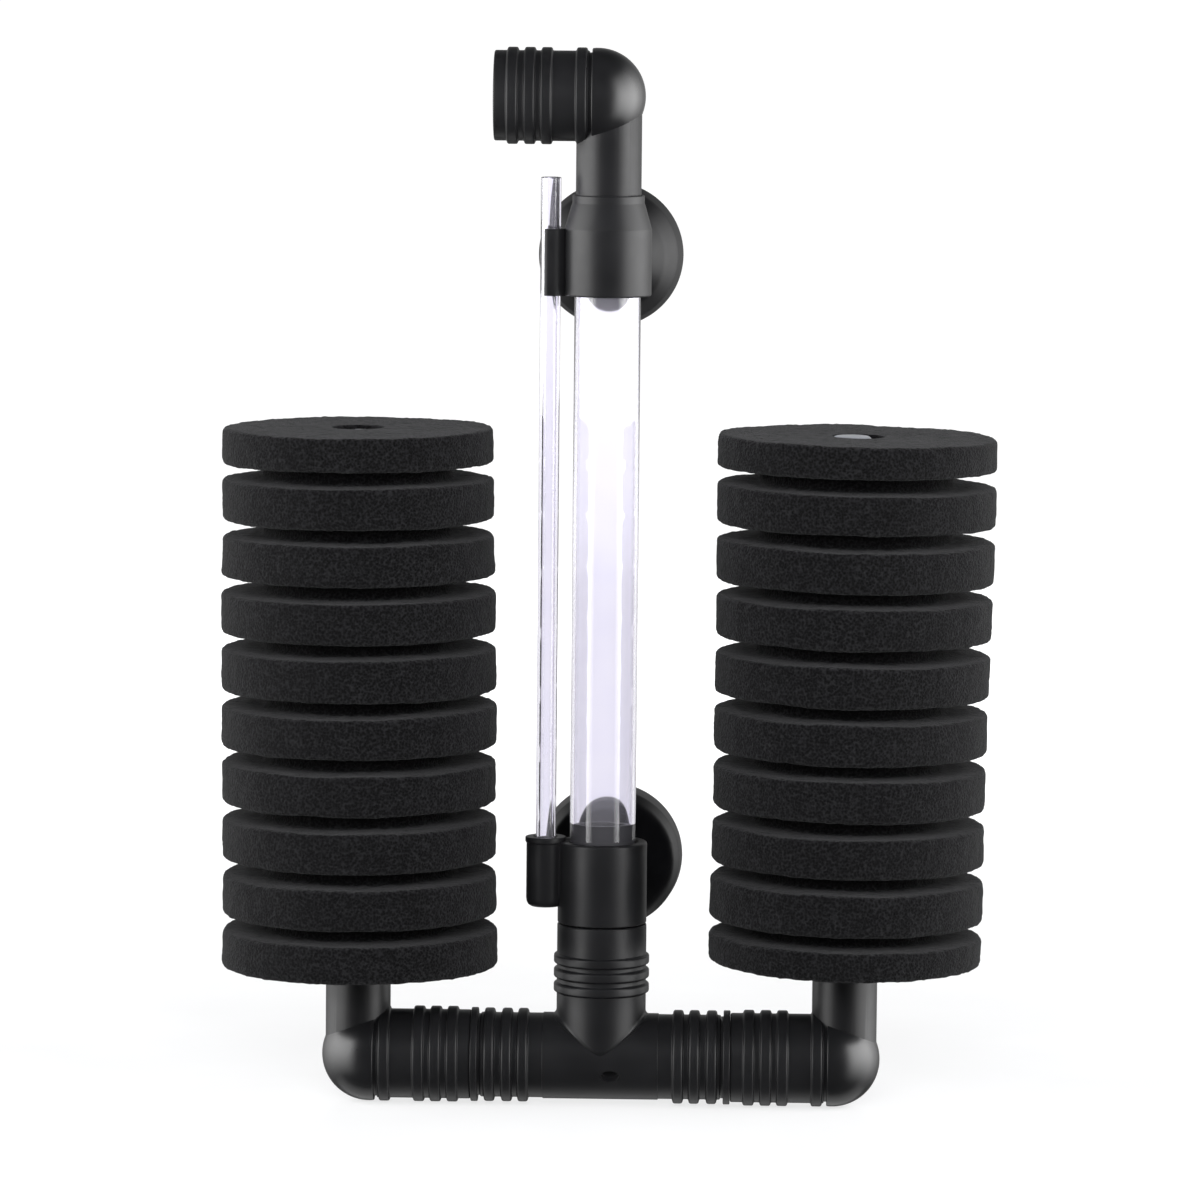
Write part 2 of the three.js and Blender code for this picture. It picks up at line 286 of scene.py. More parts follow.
def new_material(name):
    material = bpy.data.materials.new(name)
    material.use_nodes = True
    nodes = material.node_tree.nodes
    shader = nodes["Principled BSDF"]
    return material, nodes, material.node_tree.links, shader


def coordinates(nodes):
    return nodes.new("ShaderNodeTexCoord").outputs["Object"]


def noise(nodes, links, where, size, detail, rough=0.55):
    """Noise with features of about this size in millimetres."""
    texture = nodes.new("ShaderNodeTexNoise")
    texture.inputs["Scale"].default_value = 1 / (size * MM)
    texture.inputs["Detail"].default_value = detail
    texture.inputs["Roughness"].default_value = rough
    links.new(where, texture.inputs["Vector"])
    return texture.outputs["Fac"]


def ramp(nodes, links, value, stops):
    """A colour ramp with (place, colour) stops."""
    band = nodes.new("ShaderNodeValToRGB")
    links.new(value, band.inputs["Fac"])
    elements = band.color_ramp.elements
    while len(elements) < len(stops):
        elements.new(0.5)
    for element, (place, colour) in zip(elements, stops):
        element.position = place
        element.color = (*colour, 1)
    return band.outputs["Color"]


def span(nodes, links, value, low, high):
    """A value from 0 to 1 spread between two limits."""
    stretch = nodes.new("ShaderNodeMapRange")
    stretch.inputs["To Min"].default_value = low
    stretch.inputs["To Max"].default_value = high
    links.new(value, stretch.inputs["Value"])
    return stretch.outputs["Result"]


def arithmetic(nodes, links, operation, *values):
    """One Math node, whose values are sockets or plain numbers."""
    node = nodes.new("ShaderNodeMath")
    node.operation = operation
    for place, value in zip(node.inputs, values):
        if isinstance(value, bpy.types.NodeSocket):
            links.new(value, place)
        else:
            place.default_value = value
    return node.outputs[0]


def bump(nodes, links, height, depth, strength, onto=None):
    """A bump of this depth in millimetres."""
    relief = nodes.new("ShaderNodeBump")
    relief.inputs["Strength"].default_value = strength
    relief.inputs["Distance"].default_value = depth * MM
    links.new(height, relief.inputs["Height"])
    if onto:
        links.new(onto, relief.inputs["Normal"])
    return relief.outputs["Normal"]


def black_plastic(name, roughness, gloss):
    """Black moulding: fine spark-eroded grain, slow flow marks and faint rubbed patches."""
    material, nodes, links, shader = new_material(name)
    where = coordinates(nodes)
    flow = noise(nodes, links, where, 14, 2)
    grain = noise(nodes, links, where, 0.35, 2)
    rubbed = noise(nodes, links, where, 4, 5, 0.65)
    colour = ramp(nodes, links, flow, [(0.3, (0.003, 0.003, 0.0032)), (0.7, (0.005, 0.005, 0.0053))])
    links.new(colour, shader.inputs["Base Color"])
    links.new(span(nodes, links, rubbed, roughness - 0.07, roughness + 0.07), shader.inputs["Roughness"])
    wavy = bump(nodes, links, flow, 0.05, 0.35)
    links.new(bump(nodes, links, grain, 0.012, 0.5, wavy), shader.inputs["Normal"])
    shader.inputs["IOR"].default_value = 1.5
    shader.inputs["Specular IOR Level"].default_value = gloss
    return material


def black_rubber():
    """Soft black vinyl: duller than the plastic, with a bloom of fine dust."""
    material, nodes, links, shader = new_material("black_rubber")
    where = coordinates(nodes)
    bloom = noise(nodes, links, where, 6, 5, 0.6)
    dust = noise(nodes, links, where, 0.5, 2)
    stops = [(0.3, (0.0012, 0.0012, 0.0014)), (0.75, (0.0026, 0.0026, 0.0029))]
    colour = ramp(nodes, links, bloom, stops)
    links.new(colour, shader.inputs["Base Color"])
    links.new(span(nodes, links, bloom, 0.3, 0.5), shader.inputs["Roughness"])
    links.new(bump(nodes, links, dust, 0.01, 0.4), shader.inputs["Normal"])
    shader.inputs["IOR"].default_value = 1.48
    shader.inputs["Specular IOR Level"].default_value = 0.15
    return material


def grey_plastic():
    """Grey moulding of the strainers and their caps."""
    material, nodes, links, shader = new_material("grey_plastic")
    where = coordinates(nodes)
    mottle = noise(nodes, links, where, 5, 4)
    grain = noise(nodes, links, where, 0.4, 2)
    colour = ramp(nodes, links, mottle, [(0.3, (0.105, 0.108, 0.115)), (0.7, (0.13, 0.134, 0.142))])
    links.new(colour, shader.inputs["Base Color"])
    links.new(span(nodes, links, mottle, 0.35, 0.5), shader.inputs["Roughness"])
    links.new(bump(nodes, links, grain, 0.01, 0.4), shader.inputs["Normal"])
    return material


def clear_plastic():
    """Clear extruded tube with a violet cast and faint draw lines along it."""
    material, nodes, links, shader = new_material("clear_plastic")
    where = coordinates(nodes)
    squeeze = nodes.new("ShaderNodeMapping")
    squeeze.inputs["Scale"].default_value = (1, 1, 0.02)
    links.new(where, squeeze.inputs["Vector"])
    draw = noise(nodes, links, squeeze.outputs["Vector"], 0.8, 2)
    haze = noise(nodes, links, where, 9, 3)
    colour = ramp(nodes, links, haze, [(0.3, (0.88, 0.865, 0.945)), (0.7, (0.905, 0.89, 0.955))])
    links.new(colour, shader.inputs["Base Color"])
    links.new(span(nodes, links, haze, 0.035, 0.07), shader.inputs["Roughness"])
    links.new(bump(nodes, links, draw, 0.004, 0.1), shader.inputs["Normal"])
    shader.inputs["IOR"].default_value = 1.49
    shader.inputs["Transmission Weight"].default_value = 0.98
    return material


def black_foam():
    """Open-cell foam: paler struts with painted shade in the pores between them, over a mottled black.
    """
    material, nodes, links, shader = new_material("black_foam")
    where = coordinates(nodes)
    cells = nodes.new("ShaderNodeTexVoronoi")
    cells.inputs["Scale"].default_value = 1 / (0.65 * MM)
    cells.inputs["Randomness"].default_value = 1.0
    links.new(where, cells.inputs["Vector"])
    struts = noise(nodes, links, where, 0.38, 3, 0.7)
    patches = noise(nodes, links, where, 7, 4)
    grain = arithmetic(nodes, links, "MULTIPLY", cells.outputs["Distance"], struts)
    # painted shade: the colour falls to near black in the pores, where the holes would be in shade
    stops = [
        (0.04, (0.0001, 0.0001, 0.0001)),
        (0.2, (0.0012, 0.0012, 0.0013)),
        (0.42, (0.0062, 0.0062, 0.0065)),
    ]
    pore_shade = ramp(nodes, links, grain, stops)
    tone = ramp(nodes, links, patches, [(0.3, (0.75, 0.75, 0.75)), (0.7, (1.15, 1.15, 1.15))])
    mix = nodes.new("ShaderNodeMix")
    mix.data_type = "RGBA"
    mix.blend_type = "MULTIPLY"
    mix.inputs["Factor"].default_value = 1.0
    links.new(pore_shade, mix.inputs["A"])
    links.new(tone, mix.inputs["B"])
    links.new(mix.outputs["Result"], shader.inputs["Base Color"])
    shader.inputs["Roughness"].default_value = 0.95
    shader.inputs["Diffuse Roughness"].default_value = 1.0
    shader.inputs["Specular IOR Level"].default_value = 0.09
    shader.inputs["Sheen Weight"].default_value = 0.02
    shader.inputs["Sheen Roughness"].default_value = 0.5
    links.new(bump(nodes, links, grain, 0.5, 0.9), shader.inputs["Normal"])
    return material


PLASTIC = black_plastic("black_plastic", 0.41, 0.2)
POLISHED = black_plastic("black_plastic_polished", 0.3, 0.33)
RUBBER = black_rubber()
GREY = grey_plastic()
CLEAR = clear_plastic()
FOAM = black_foam()


def finish_piece(piece, node, body, material):
    """Gives a piece its material, hangs it on the body it rides on and hides the CAD node it stands for.
    """
    piece.data.materials.clear()
    piece.data.materials.append(material)
    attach(piece, body)
    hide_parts(node)
    return piece


# ---------------------------------------------------------------- elbows


def elbow_shape(name, pipe_length):
    """An elbow with its barrel towards -X and its pipe up, about the crossing of their axes."""
    groove_from, groove_to, groove_radius = 4.2, 4.9, 10.6
    groove_angle = math.asin((groove_from - BALL_ALONG) / BALL_RADIUS)
    steps = 20
    ball = []
    for i in range(steps + 1):
        angle = -math.pi / 2 + (groove_angle + math.pi / 2) * i / steps
        ball.append((BALL_RADIUS * math.cos(angle), BALL_ALONG + BALL_RADIUS * math.sin(angle), 0))
    ball[0] = (0, ball[0][1])
    shell = ball[:-1] + [
        (ball[-1][0], groove_from, 0.3),
        (groove_radius, groove_from, 0.15),
        (groove_radius, groove_to, 0.15),
        (BARREL_RADIUS, groove_to, 0.25),
        *ribs(BARREL_RADIUS, (6.7, 15.2, 19.3, 23.5), 2.9, 0.8),
        (BARREL_RADIUS, BARREL_END, 0.5),
        (0, BARREL_END),
    ]
    piece = lathe(name, soften(shell), axis=-X)
    flare = 0.9
    pipe = lathe(
        "pipe",
        soften([(0, 1), (PIPE_RADIUS, 1), (PIPE_RADIUS, pipe_length, 0.4), (0, pipe_length)]),
    )
    floor = BARREL_END - SOCKET_DEPTH
    hollow = lathe(
        "hollow",
        soften(
            [
                (0, -PIPE_BORE),
                (PIPE_BORE, -PIPE_BORE, 5.0),
                (PIPE_BORE, floor, 0.4),
                (SOCKET_BORE, floor, 0.3),
                (SOCKET_BORE, BARREL_END - flare, 0.5),
                (SOCKET_BORE + flare, BARREL_END + 0.1),
                (0, BARREL_END + 0.1),
            ]
        ),
        axis=-X,
    )
    drop = lathe("drop", [(0, 0), (PIPE_BORE, 0), (PIPE_BORE, pipe_length + 1), (0, pipe_length + 1)])
    join(piece, pipe)
    return cut(piece, hollow, drop)


def polish_ball(elbow, centre):
    """Gives the ball of an elbow its smoother skin."""
    tolerance = 0.12
    elbow.data.materials.append(POLISHED)
    for face in elbow.data.polygons:
        out = (face.center / MM - centre).length
        face.material_index = 1 if abs(out - BALL_RADIUS) < tolerance else 0


def build_elbows():
    outlet = elbow_shape("outlet_elbow_shell", OUTLET_HEIGHT - outlet_low.z)
    flip = Matrix.Rotation(math.pi, 4, "X")
    transform(outlet, Matrix.Translation((0, 0, OUTLET_HEIGHT * MM)) @ flip)
    finish_piece(smooth(outlet), "outlet_elbow", "outlet", PLASTIC)
    polish_ball(outlet, Vector((-BALL_ALONG, 0, OUTLET_HEIGHT)))
    for side, sign, turn in (("right", 1, 0), ("left", -1, math.pi)):
        elbow = elbow_shape(f"{side}_elbow_shell", arm_high.z - ARM_HEIGHT)
        place = Matrix.Rotation(turn, 4, "Z") @ Matrix.Translation((ARM_SPAN * MM, 0, ARM_HEIGHT * MM))
        transform(elbow, place)
        finish_piece(smooth(elbow), f"{side}_elbow", f"{side}_arm", PLASTIC)
        polish_ball(elbow, Vector((sign * (ARM_SPAN - BALL_ALONG), 0, ARM_HEIGHT)))


# ---------------------------------------------------------------- tee and nipples


def tee_stem(arm_radius):
    """The stem of the tee, flared where it runs into the arm."""
    radius = 11.0
    fillet = 1.4
    top = tee_high.z - ARM_HEIGHT
    places = [height - ARM_HEIGHT for height in (29.2, 32.8, 36.3)]
    upper = soften(
        [
            (0, top),
            (radius, top, 0.5),
            *reversed(ribs(radius, places, 2.5, 0.75)),
            (radius, arm_radius + fillet + 0.6),
        ]
    )
    angles = np.arange(ROUND) * 2 * math.pi / ROUND
    round_trip = np.stack([np.cos(angles), np.sin(angles), np.zeros(ROUND)], axis=1)
    rings = []
    for ring_radius, height in upper:
        rings.append(round_trip * ring_radius + np.array([0, 0, height]))
    seat = np.sqrt(arm_radius**2 - (0.985 * arm_radius * np.sin(angles)) ** 2)
    steps = 10
    for i in range(steps + 1):
        above = fillet * (1 - i / steps)
        swell = fillet - math.sqrt(fillet**2 - (fillet - above) ** 2)
        side = np.cos(angles) ** 2
        ring_radius = radius + swell * side - 0.5 * (i / steps) ** 2 * (1 - side)
        ring = round_trip * ring_radius[:, None]
        ring[:, 2] = seat + above
        rings.append(ring)
    inner = round_trip * (radius - 3)
    inner[:, 2] = -1
    rings.append(inner)
    rings.append(np.tile([0.0, 0.0, -1.0], (ROUND, 1)))
    lift = np.array([0, 0, ARM_HEIGHT])
    return ring_mesh("stem", [(ring + lift) * MM for ring in reversed(rings)], closed=False)


def gate_mark(body_radius):
    """The oval pit where the moulding's gate was cut off, low on the front of the tee."""
    tilt = math.radians(19)
    out = Vector((0, -math.cos(tilt), -math.sin(tilt)))
    centre = Vector((2.5, 0, ARM_HEIGHT)) + out * (body_radius - 2.2)
    outline = soften([(0, 0), (1.5, 0, 0.3), (1.6, 3.2, 0.3), (0, 3.2)])
    pit = lathe("gate", outline, axis=out, at=centre, segments=32)
    middle = Matrix.Translation(centre * MM)
    return transform(pit, middle @ Matrix.Diagonal((1.4, 1, 1, 1)) @ middle.inverted())


def build_tee():
    radius, end, body_end = 10.45, tee_high.x, 14.2
    rib_places = (19.1, 23.1, 27.4)
    left = [-place for place in reversed(rib_places)]
    step = 0.22
    outline = [
        (0, -end),
        (radius, -end, 0.4),
        *ribs(radius, left, 2.8, 1.1),
        (radius, -body_end, 0.2),
        (radius + step, -body_end, 0.2),
        (radius + step, body_end, 0.2),
        (radius, body_end, 0.2),
        *ribs(radius, rib_places, 2.8, 1.1),
        (radius, end, 0.4),
        (0, end),
    ]
    at = (0, 0, ARM_HEIGHT)
    tee = lathe("tee_shell", soften(outline), axis=X, at=at)
    join(tee, tee_stem(radius))
    floor = end - SOCKET_DEPTH
    run = [
        (0, -end - 1),
        (SOCKET_BORE, -end - 1),
        (SOCKET_BORE, -floor),
        (PIPE_BORE, -floor),
        (PIPE_BORE, floor),
        (SOCKET_BORE, floor),
        (SOCKET_BORE, end + 1),
        (0, end + 1),
    ]
    well_depth = 15.3
    well = tee_high.z - well_depth
    down = [
        (0, ARM_HEIGHT),
        (PIPE_BORE, ARM_HEIGHT),
        (PIPE_BORE, well),
        (SOCKET_BORE, well),
        (SOCKET_BORE, tee_high.z + 1),
        (0, tee_high.z + 1),
    ]
    cut(tee, lathe("run", run, axis=X, at=at), lathe("down", down), gate_mark(radius + step))
    finish_piece(smooth(tee), "tee", "manifold", PLASTIC)


def build_nipples():
    middle = (nipple_low.x + nipple_high.x) / 2
    reach = (nipple_high.x - nipple_low.x) / 2
    flange = (nipple_high.z - nipple_low.z) / 2
    half, step = 1.15, 10.1
    outline = [
        (PIPE_RADIUS, -reach, 0.5),
        (PIPE_RADIUS, -half, 0.1),
        (step, -half, 0.1),
        (step, -half + 0.6, 0.1),
        (flange, -half + 0.6, 0.3),
        (flange, half, 0.3),
        (PIPE_RADIUS, half, 0.1),
        (PIPE_RADIUS, reach, 0.5),
        (PIPE_BORE, reach, 0.3),
        (PIPE_BORE, -reach, 0.3),
    ]
    for side, sign in (("right", 1), ("left", -1)):
        at = (sign * middle, 0, ARM_HEIGHT)
        ring = soften(outline, closed=True)
        nipple = lathe(f"{side}_nipple_ring", ring, axis=sign * X, at=at, closed=True)
        finish_piece(smooth(nipple), f"{side}_nipple", "manifold", PLASTIC)


# ---------------------------------------------------------------- collars


def cup_bracket(height):
    """The bracket that holds a cup's knob: a rounded block with a pocket and a U-shaped slot."""
    body = block("bracket", (-7, 8.7, height - 7.2), (7, 17.4, height + 6.5), edge=0.8)
    pocket = block("pocket", (-5, 11.7, height - 5), (5, 15.3, height + 9), edge=0.5)
    slot = block("slot", (-3.3, 15, height), (3.3, 19, height + 9))
    round_end = [(0, 15), (3.3, 15), (3.3, 19), (0, 19)]
    seat = lathe("seat", round_end, axis=Y, at=(0, 0, height), segments=48)
    return cut(body, pocket, slot, seat)


def build_lower_collar():
    joint = tee_high.z + FIT_GAP
    rim, tube_seat = 65.4, 54.7
    radius = 10.95
    outline = [
        (0, lower_low.z),
        (PIPE_RADIUS, lower_low.z, 0.5),
        (PIPE_RADIUS, joint, 0.1),
        (radius, joint, 0.35),
        (radius, rim, 0.7),
        (0, rim),
    ]
    collar = lathe("lower_collar_shell", soften(outline))
    boss_radius, boss_low, boss_top = 4.75, 49.0, lower_high.z
    boss_outline = [
        (0, boss_low),
        (boss_radius, boss_low, 2.2),
        (boss_radius, boss_top - 1.6, 0.3),
        (boss_radius + 0.3, boss_top - 1.2, 0.2),
        (boss_radius + 0.3, boss_top, 0.35),
        (0, boss_top),
    ]
    boss = lathe("boss", soften(boss_outline), at=(AIR_X, 0, 0), segments=64)
    web = block("web", (AIR_X, -3.4, 50.9), (-6.5, 3.4, boss_top - 0.9), edge=0.7)
    join(collar, boss, web, cup_bracket(LOWER_CUP_HEIGHT))
    bore = [
        (0, lower_low.z - 1),
        (PIPE_BORE, lower_low.z - 1),
        (PIPE_BORE, tube_seat),
        (TUBE_RADIUS + FIT_GAP, tube_seat),
        (TUBE_RADIUS + FIT_GAP, rim - 0.5),
        (TUBE_RADIUS + FIT_GAP + 0.5, rim + 0.1),
        (0, rim + 0.1),
    ]
    jet, jet_low = 1.2, 52.1
    air_socket, air_seat, air_mouth = 2.8, 55, 3.2
    socket = [
        (0, jet_low),
        (jet, jet_low),
        (jet, air_seat),
        (air_socket, air_seat),
        (air_socket, boss_top - 0.4),
        (air_mouth, boss_top + 0.1),
        (0, boss_top + 0.1),
    ]
    cut(collar, lathe("bore", bore), lathe("socket", socket, at=(AIR_X, 0, 0), segments=48))
    finish_piece(smooth(collar), "lower_collar", "collars", PLASTIC)


def air_clip(low, top):
    """A C-shaped clip round the air tube, open to the left, with round lips."""
    bore, radius = 2.8, 4.2
    facing = math.radians(180)
    half = math.radians(78)
    middle = (radius + bore) / 2
    lip = (radius - bore) / 2
    start, end = facing + half, facing - half + 2 * math.pi
    lips = [math.pi * i / 6 for i in range(1, 6)]

    def lip_point(angle, turn, side):
        reach = middle + lip * math.cos(turn)
        swing = angle + side * lip * math.sin(turn) / middle
        return math.cos(swing) * reach, math.sin(swing) * reach

    turns = np.linspace(start, end, 40)
    section = [(math.cos(angle) * radius, math.sin(angle) * radius) for angle in turns]
    section += [lip_point(end, turn, 1) for turn in lips]
    section += [(math.cos(angle) * bore, math.sin(angle) * bore) for angle in turns[::-1]]
    section += [lip_point(start, turn, -1) for turn in lips[::-1]]
    shape = bmesh.new()
    base = [shape.verts.new(((AIR_X + x) * MM, y * MM, low * MM)) for x, y in section]
    lifted = bmesh.ops.extrude_face_region(shape, geom=[shape.faces.new(base)])
    moved = [item for item in lifted["geom"] if isinstance(item, bmesh.types.BMVert)]
    bmesh.ops.translate(shape, verts=moved, vec=(0, 0, (top - low) * MM))
    bmesh.ops.recalc_face_normals(shape, faces=shape.faces[:])
    mesh = bpy.data.meshes.new("clip")
    shape.to_mesh(mesh)
    shape.free()
    return new_object("clip", mesh)


def build_upper_collar():
    low, top = upper_low.z, upper_high.z
    radius, neck = 10.65, 8.8
    shoulder, web_top = 216.0, 215.8
    tube_stop, pipe_stop, stop_bore = 210.3, 211.7, 6.8
    outline = [
        (0, low),
        (radius, low, 0.5),
        (radius, shoulder, 0.4),
        (neck + 0.25, 221.6, 0.5),
        (neck, 222.3, 0.3),
        (neck, top, 0.25),
        (0, top),
    ]
    collar = lathe("upper_collar_shell", soften(outline))
    web = block("web", (AIR_X + 3.2, -1.7, low + 0.05), (-8, 1.7, web_top), edge=0.3)
    join(collar, web, air_clip(low, shoulder), cup_bracket(UPPER_CUP_HEIGHT))
    bore = [
        (0, low - 0.1),
        (TUBE_RADIUS + FIT_GAP + 0.5, low - 0.1),
        (TUBE_RADIUS + FIT_GAP, low + 0.5),
        (TUBE_RADIUS + FIT_GAP, tube_stop),
        (stop_bore, tube_stop),
        (stop_bore, pipe_stop),
        (SOCKET_BORE, pipe_stop),
        (SOCKET_BORE, top + 1),
        (0, top + 1),
    ]
    cut(collar, lathe("bore", bore))
    finish_piece(smooth(collar), "upper_collar", "collars", PLASTIC)


# ---------------------------------------------------------------- tubes and injector


def build_tubes():
    bore = 7.1
    outline = [
        (TUBE_RADIUS, tube_low.z, 0.3),
        (TUBE_RADIUS, tube_high.z, 0.3),
        (bore, tube_high.z, 0.3),
        (bore, tube_low.z, 0.3),
    ]
    tube = lathe("uplift_tube_wall", soften(outline, closed=True), closed=True, segments=160)
    finish_piece(smooth(tube), "uplift_tube", "collars", CLEAR)
    air_radius, air_bore = (air_high.x - air_low.x) / 2, 1.5
    outline = [
        (air_radius, air_low.z, 0.3),
        (air_radius, air_high.z, 0.4),
        (air_bore, air_high.z, 0.2),
        (air_bore, air_low.z, 0.2),
    ]
    air = lathe("air_tube_wall", soften(outline, closed=True), at=(AIR_X, 0, 0), closed=True)
    finish_piece(smooth(air), "air_tube", "air_line", CLEAR)


def build_injector():
    """The insert in the foot of the tube. Its nozzle runs just into the tube's wall, as if wet to it."""
    radius, bore = 5.8, 4.2
    nozzle, nozzle_bore = 7.15, 5.6
    groove, groove_low, groove_top = 4.9, 52.1, 55.0
    ledge, nozzle_floor = 56.2, 57.5
    low, top = injector_low.z, injector_high.z
    outline = [
        (radius, low, 0.2),
        (radius, groove_low, 0.1),
        (groove, groove_low, 0.1),
        (groove, groove_top, 0.1),
        (TUBE_RADIUS, groove_top, 0.1),
        (TUBE_RADIUS, ledge, 0.2),
        (nozzle, ledge, 0.1),
        (nozzle, top, 0.25),
        (nozzle_bore, top, 0.4),
        (nozzle_bore, nozzle_floor, 0.3),
        (bore, nozzle_floor, 0.3),
        (bore, low, 0.2),
    ]
    injector = lathe("air_injector_insert", soften(outline, closed=True), closed=True)
    hole, hole_height = [(0, -7), (0.6, -7), (0.6, 7), (0, 7)], 53.4
    for i in range(3):
        turn = Matrix.Rotation(i * math.pi / 3, 3, "Z")
        cut(injector, lathe("drill", hole, axis=turn @ X, at=(0, 0, hole_height), segments=16))
    finish_piece(smooth(injector), "air_injector", "collars", PLASTIC)


# ---------------------------------------------------------------- suction cups


def build_cups():
    radius = (upper_cup_high.x - upper_cup_low.x) / 2
    face = upper_cup_high.y
    neck_end, bend_length = 17.7, 4.5
    knob = [(0, 12.0), (4.7, 12.0, 0.9), (4.7, 15.0, 0.5), (3.0, 15.0, 0.2), (3.0, neck_end, 0.5)]
    inside = [
        (radius, face - 0.9, 0.6),
        (radius, face, 0.25),
        (radius - 1.4, face, 0.3),
        (radius * 0.78, face - 3.4, 3),
        (radius * 0.5, face - 7, 4),
        (radius * 0.2, face - 8.8, 2),
        (0, face - 9),
    ]
    bells = {
        "upper": [(0.36, 0, 1.2), (0.52, 2.2, 3), (0.76, 5.4, 5), (0.93, 9.6, 4)],
        "lower": [(0.36, 0, 1.2), (0.60, 1.2, 3), (0.87, 3.6, 4), (0.97, 7.4, 3)],
    }
    leans = {"upper": (0.0, 0.0), "lower": (1.25, -0.6)}
    for level, height in (("upper", UPPER_CUP_HEIGHT), ("lower", LOWER_CUP_HEIGHT)):
        bell = [(radius * share, neck_end + along, corner) for share, along, corner in bells[level]]
        outline = soften(knob + bell + inside)
        cup = lathe(f"{level}_suction_cup_body", outline, axis=Y, at=(0, 0, height))
        for vertex in cup.data.vertices:
            bent = min(max((vertex.co.y / MM - neck_end) / bend_length, 0.0), 1.0)
            vertex.co.x += leans[level][0] * bent * MM
            vertex.co.z += leans[level][1] * bent * MM
        finish_piece(smooth(cup, 40), f"{level}_suction_cup", f"{level}_cup", RUBBER)


# ---------------------------------------------------------------- strainers


def build_strainers():
    radius, bore, flange = 5.8, 4.6, (strainer_high.x - strainer_low.x) / 2
    seat = arm_high.z + FIT_GAP
    outline = [
        (radius, strainer_low.z, 0.3),
        (radius, seat, 0.1),
        (flange, seat, 0.3),
        (flange, seat + 1.3, 0.3),
        (radius, seat + 1.3, 0.2),
        (radius, strainer_high.z, 0.2),
        (bore, strainer_high.z, 0.2),
        (bore, strainer_low.z, 0.2),
    ]
    top, plug = cap_high.z, 4.3
    cap_outline = [
        (0, cap_low.z),
        (plug, cap_low.z, 0.5),
        (plug, strainer_high.z + FIT_GAP, 0.1),
        (radius, strainer_high.z + FIT_GAP, 0.2),
        (radius, top - 1.6, 1.0),
        (radius * 0.7, top, 1.2),
        (0, top),
    ]
    wall = soften(outline, closed=True)
    first_window, window_pitch, window_height = 41, 22, 18
    for side, sign in (("right", 1), ("left", -1)):
        at = (sign * ARM_SPAN, 0, 0)
        shift = Vector(at)
        tube = lathe(f"{side}_strainer_tube", wall, at=at, closed=True, segments=64)
        for row in range(5):
            bottom = first_window + window_pitch * row
            low = Vector((-7, -1.5, bottom))
            high = Vector((7, 1.5, bottom + window_height))
            across = block("window", low + shift, high + shift)
            along = block("window", low.yxz + shift, high.yxz + shift)
            cut(tube, across, along)
        finish_piece(smooth(tube), f"{side}_strainer", f"{side}_arm", GREY)
        cap = lathe(f"{side}_strainer_end", soften(cap_outline), at=at, segments=64)
        finish_piece(smooth(cap), f"{side}_strainer_cap", f"{side}_arm", GREY)


# ---------------------------------------------------------------- sponges


def lattice_noise(points, size, seed):
    """Smooth noise from -1 to 1 at points in millimetres, with features of this size."""
    count = 64
    table = np.random.default_rng(seed).uniform(-1, 1, (count, count, count))
    where = points / size
    cell = np.floor(where).astype(int)
    part = where - cell
    part = part * part * (3 - 2 * part)
    total = np.zeros(len(points))
    for corner in np.ndindex(2, 2, 2):
        weight = np.prod(np.where(np.array(corner) == 1, part, 1 - part), axis=1)
        index = (cell + corner) % count
        total += weight * table[index[:, 0], index[:, 1], index[:, 2]]
    return total


def resample(outline, spacing):
    """Points along a closed outline at about this spacing, which keep its corners."""
    result = []
    for i, point in enumerate(outline):
        after = outline[(i + 1) % len(outline)]
        length = math.dist(point, after)
        steps = max(1, round(length / spacing))
        for k in range(steps):
            t = k / steps
            result.append((point[0] + (after[0] - point[0]) * t, point[1] + (after[1] - point[1]) * t))
    return result


def sponge_outline(rng, drop, rise):
    """Ten discs cut by nine grooves, no two quite alike. The ends stand out by the drop and the rise."""
    core, bore, groove, end_disc, disc = 23.5, 6.1, 3.6, 8.5, 10.3
    low, high = sponge_low.z, sponge_high.z
    edge = 1.3
    radius = SPONGE_RADIUS + 0.4
    hub = 10.0
    hub_low = low + max(0, -drop)
    outline = [(bore, hub_low, 0.4), (hub, hub_low, 1), (hub + 2, low - drop, 1)]
    outline.append((radius, low - drop, edge))
    height = low + end_disc
    for i in range(9):
        reach = radius + rng.uniform(-0.2, 0.2)
        wobble = rng.uniform(-0.25, 0.25)
        cut_low = height + wobble
        cut_high = height + groove + wobble + rng.uniform(-0.15, 0.15)
        outline += [(reach, cut_low, edge), (core, cut_low, 1.0)]
        outline += [(core, cut_high, 1.0), (reach, cut_high, edge)]
        height += groove + disc
    outline += [(radius, high + rise, edge), (bore, high + rise, 0.8)]
    return soften(outline, closed=True)


